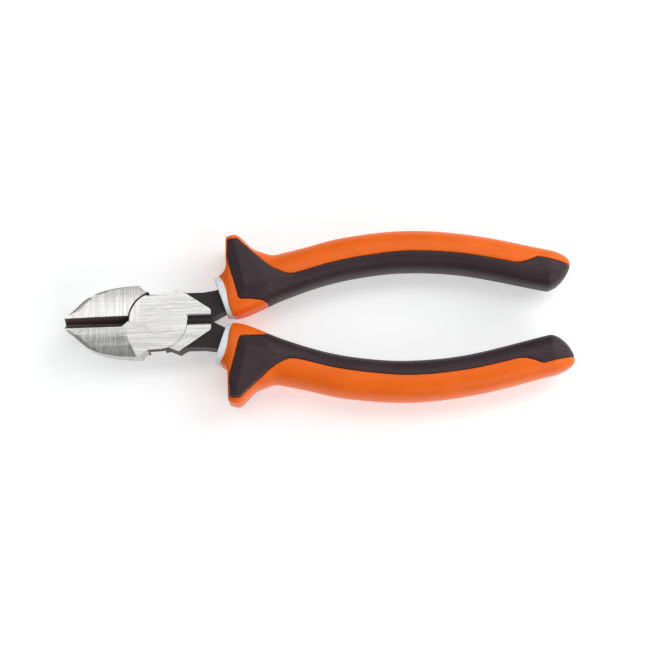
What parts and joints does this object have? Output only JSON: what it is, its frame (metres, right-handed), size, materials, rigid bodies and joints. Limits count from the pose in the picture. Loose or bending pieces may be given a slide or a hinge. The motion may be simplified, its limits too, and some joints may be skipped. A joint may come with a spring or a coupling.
{
  "type": "diagonal cutting pliers",
  "caption": "Diagonal cutting pliers with a lap joint, ground steel head and slim two-colour insulated handles with finger guards.",
  "frame": {"origin": "on the pivot axis, at the middle of the lower ground face of the joint", "axes": "+X from the pivot towards the handle ends, with the cutting edges at -X; +Z along the pivot axis, away from the lower ground face; +Y towards the handle of the half whose joint disc is on the +Z side"},
  "size_m": [0.1798, 0.061, 0.0206],
  "materials": {
    "ground_steel": "satin ground faces, dark oxide elsewhere",
    "rivet_steel": "ground flush",
    "white_insulation": "satin",
    "orange_insulation": "satin",
    "charcoal_grip": "soft satin"
  },
  "bodies": {
    "rear_body": {"rear_half": "ground_steel", "pivot_rivet": "rivet_steel", "rear_inner_sleeve": "white_insulation", "rear_outer_sleeve": "orange_insulation", "rear_soft_grip": "charcoal_grip"},
    "front_body": {"front_half": "ground_steel", "front_inner_sleeve": "white_insulation", "front_outer_sleeve": "orange_insulation", "front_soft_grip": "charcoal_grip"}
  },
  "joints": [
    {"name": "pivot", "type": "hinge", "parent": "rear_body", "child": "front_body", "pos_m": [0, 0, 0], "axis": [0, 0, 1], "range_deg": [0, 27]}
  ]
}
